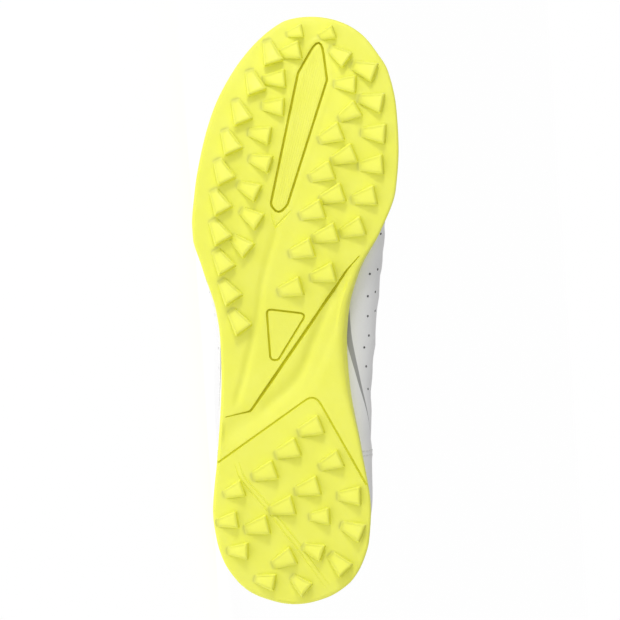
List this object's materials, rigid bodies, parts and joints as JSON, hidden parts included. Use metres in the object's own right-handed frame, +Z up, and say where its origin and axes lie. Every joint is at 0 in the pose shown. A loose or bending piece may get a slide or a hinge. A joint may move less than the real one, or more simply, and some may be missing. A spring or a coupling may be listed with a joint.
{
  "type": "football shoe",
  "caption": "Right low-cut turf football shoe lying on its lateral side: hollow laced upper, tongue, insole and a moulded rubber outsole with wedge lugs.",
  "frame": {"origin": "middle of the footprint on the floor, under the shoe as it lies on its lateral side", "axes": "+Z up towards the medial side, -X towards the toe, -Y the way the sole faces"},
  "size_m": [0.2872, 0.1196, 0.1034],
  "materials": {
    "outsole": "neon yellow moulded rubber, satin",
    "upper": "white coated synthetic leather",
    "tongue": "white padded mesh",
    "insole": "dark brushed fabric on foam",
    "laces": "white flat woven lace"
  },
  "bodies": {
    "root": {"outsole": "outsole", "upper": "upper", "tongue": "tongue", "insole": "insole", "laces": "laces"}
  },
  "joints": []
}
